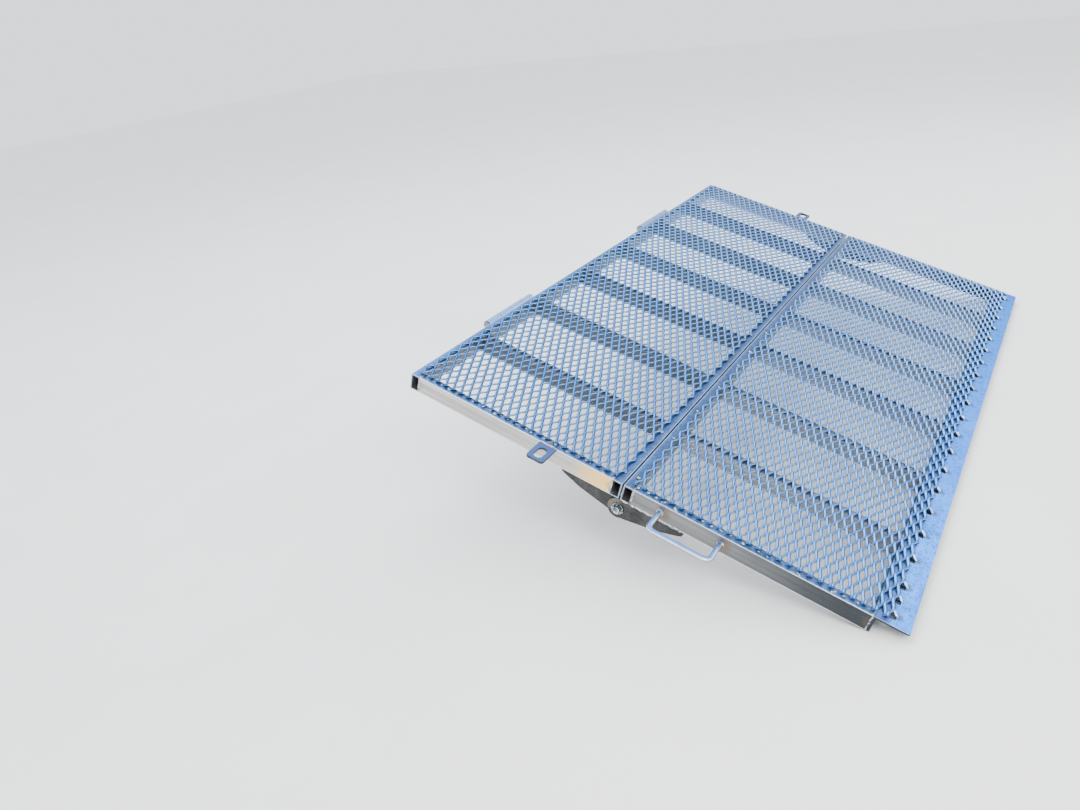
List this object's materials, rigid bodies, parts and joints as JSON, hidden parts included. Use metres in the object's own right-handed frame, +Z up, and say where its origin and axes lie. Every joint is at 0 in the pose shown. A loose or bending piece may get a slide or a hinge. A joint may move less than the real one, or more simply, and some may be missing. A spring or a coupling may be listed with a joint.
{
  "type": "folding loading ramp",
  "caption": "Folding aluminium loading ramp hinged to a trailer's rear sill, with an expanded metal deck, a toe plate, fold pivots, latch lugs and a side handle.",
  "frame": {"origin": "on the gate hinge axis, at the middle of the ramp's width", "axes": "+X along the hinge axis, to the right for someone at the toe who looks at the trailer; +Y level, towards the trailer; +Z up; the deployed ramp runs down towards -Y at 19 degrees"},
  "size_m": [2.1694, 1.242, 0.4403],
  "materials": {
    "frame_tube": "mill finish extruded tube, fine lengthwise die lines",
    "stringer_tube": "mill finish extruded tube",
    "deck_mesh": "raw raised expanded metal, sheared strand edges",
    "toe_plate": "mill finish angle, handled and speckled",
    "hinge_plate": "cut plate, dark mottled grey",
    "lug_plate": "cut plate, mill finish",
    "hinge_barrel": "turned round bar, mill finish",
    "hinge_pin": "bright steel rod",
    "zinc_hardware": "bright zinc plated",
    "handle_bar": "bent round rod, mill finish with weld heat tint"
  },
  "bodies": {
    "trailer_side": {"sill_knuckles_left": "hinge_barrel", "sill_knuckles_right": "hinge_barrel", "hinge_pin_left": "hinge_pin", "hinge_pin_right": "hinge_pin"},
    "upper_panel": {"hinge_tube": "frame_tube", "upper_fold_tube": "frame_tube", "upper_rail_left": "frame_tube", "upper_rail_right": "frame_tube", "upper_stringer_1": "stringer_tube", "upper_stringer_2": "stringer_tube", "upper_stringer_3": "stringer_tube", "upper_stringer_4": "stringer_tube", "upper_stringer_5": "stringer_tube", "upper_stringer_6": "stringer_tube", "upper_mesh": "deck_mesh", "gate_knuckles_left": "hinge_barrel", "gate_knuckles_right": "hinge_barrel", "latch_lug_left": "lug_plate", "latch_lug_right": "lug_plate", "upper_fold_plate_left": "hinge_plate", "upper_fold_plate_right": "hinge_plate", "fold_bolts": "zinc_hardware", "fold_washers": "zinc_hardware", "fold_nuts": "zinc_hardware"},
    "lower_panel": {"lower_fold_tube": "frame_tube", "lower_rail_left": "frame_tube", "lower_rail_right": "frame_tube", "lower_stringer_1": "stringer_tube", "lower_stringer_2": "stringer_tube", "lower_stringer_3": "stringer_tube", "lower_stringer_4": "stringer_tube", "lower_stringer_5": "stringer_tube", "lower_stringer_6": "stringer_tube", "toe_angle": "toe_plate", "lower_mesh": "deck_mesh", "lower_fold_plate_left": "hinge_plate", "lower_fold_plate_right": "hinge_plate", "handle": "handle_bar"}
  },
  "joints": [
    {"name": "gate_hinge", "type": "hinge", "parent": "trailer_side", "child": "upper_panel", "pos_m": [0, 0, 0], "axis": [-1, 0, 0], "range_deg": [0, 109]},
    {"name": "fold_hinge", "type": "hinge", "parent": "upper_panel", "child": "lower_panel", "pos_m": [0, -0.57798, -0.26173], "axis": [1, 0, 0], "range_deg": [-3, 180]}
  ]
}
